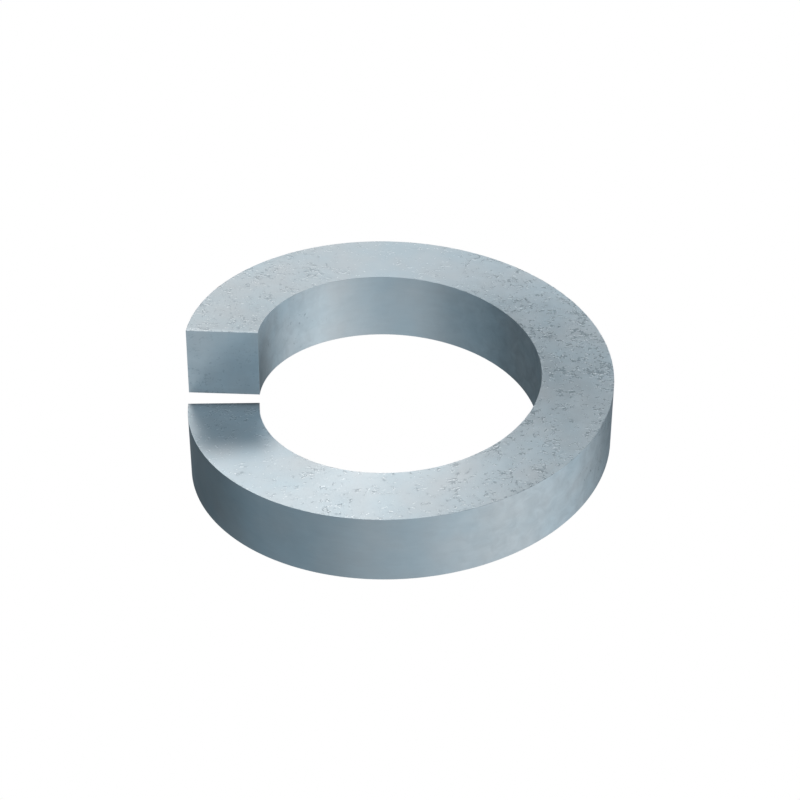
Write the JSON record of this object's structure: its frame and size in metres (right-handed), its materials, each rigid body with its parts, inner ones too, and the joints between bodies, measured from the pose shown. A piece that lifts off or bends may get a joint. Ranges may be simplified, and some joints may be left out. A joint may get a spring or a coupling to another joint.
{
  "type": "split spring lock washer",
  "caption": "Split spring lock washer of square steel bar, coiled with offset square-cut ends, that keeps a tightened screw under spring load.",
  "frame": {"origin": "on the bore's axis, level with the lowest edge, which is the underside of the lower end", "axes": "+Z along the bore's axis, up; the slit between the ends is centred on -X, with the lower end on its -Y side"},
  "size_m": [0.0094, 0.0094, 0.0033],
  "materials": {
    "zinc_coated_steel": "matt blue-grey zinc coating with fine pits and faint draw marks"
  },
  "bodies": {
    "root": {"spring_washer": "zinc_coated_steel"}
  },
  "joints": []
}
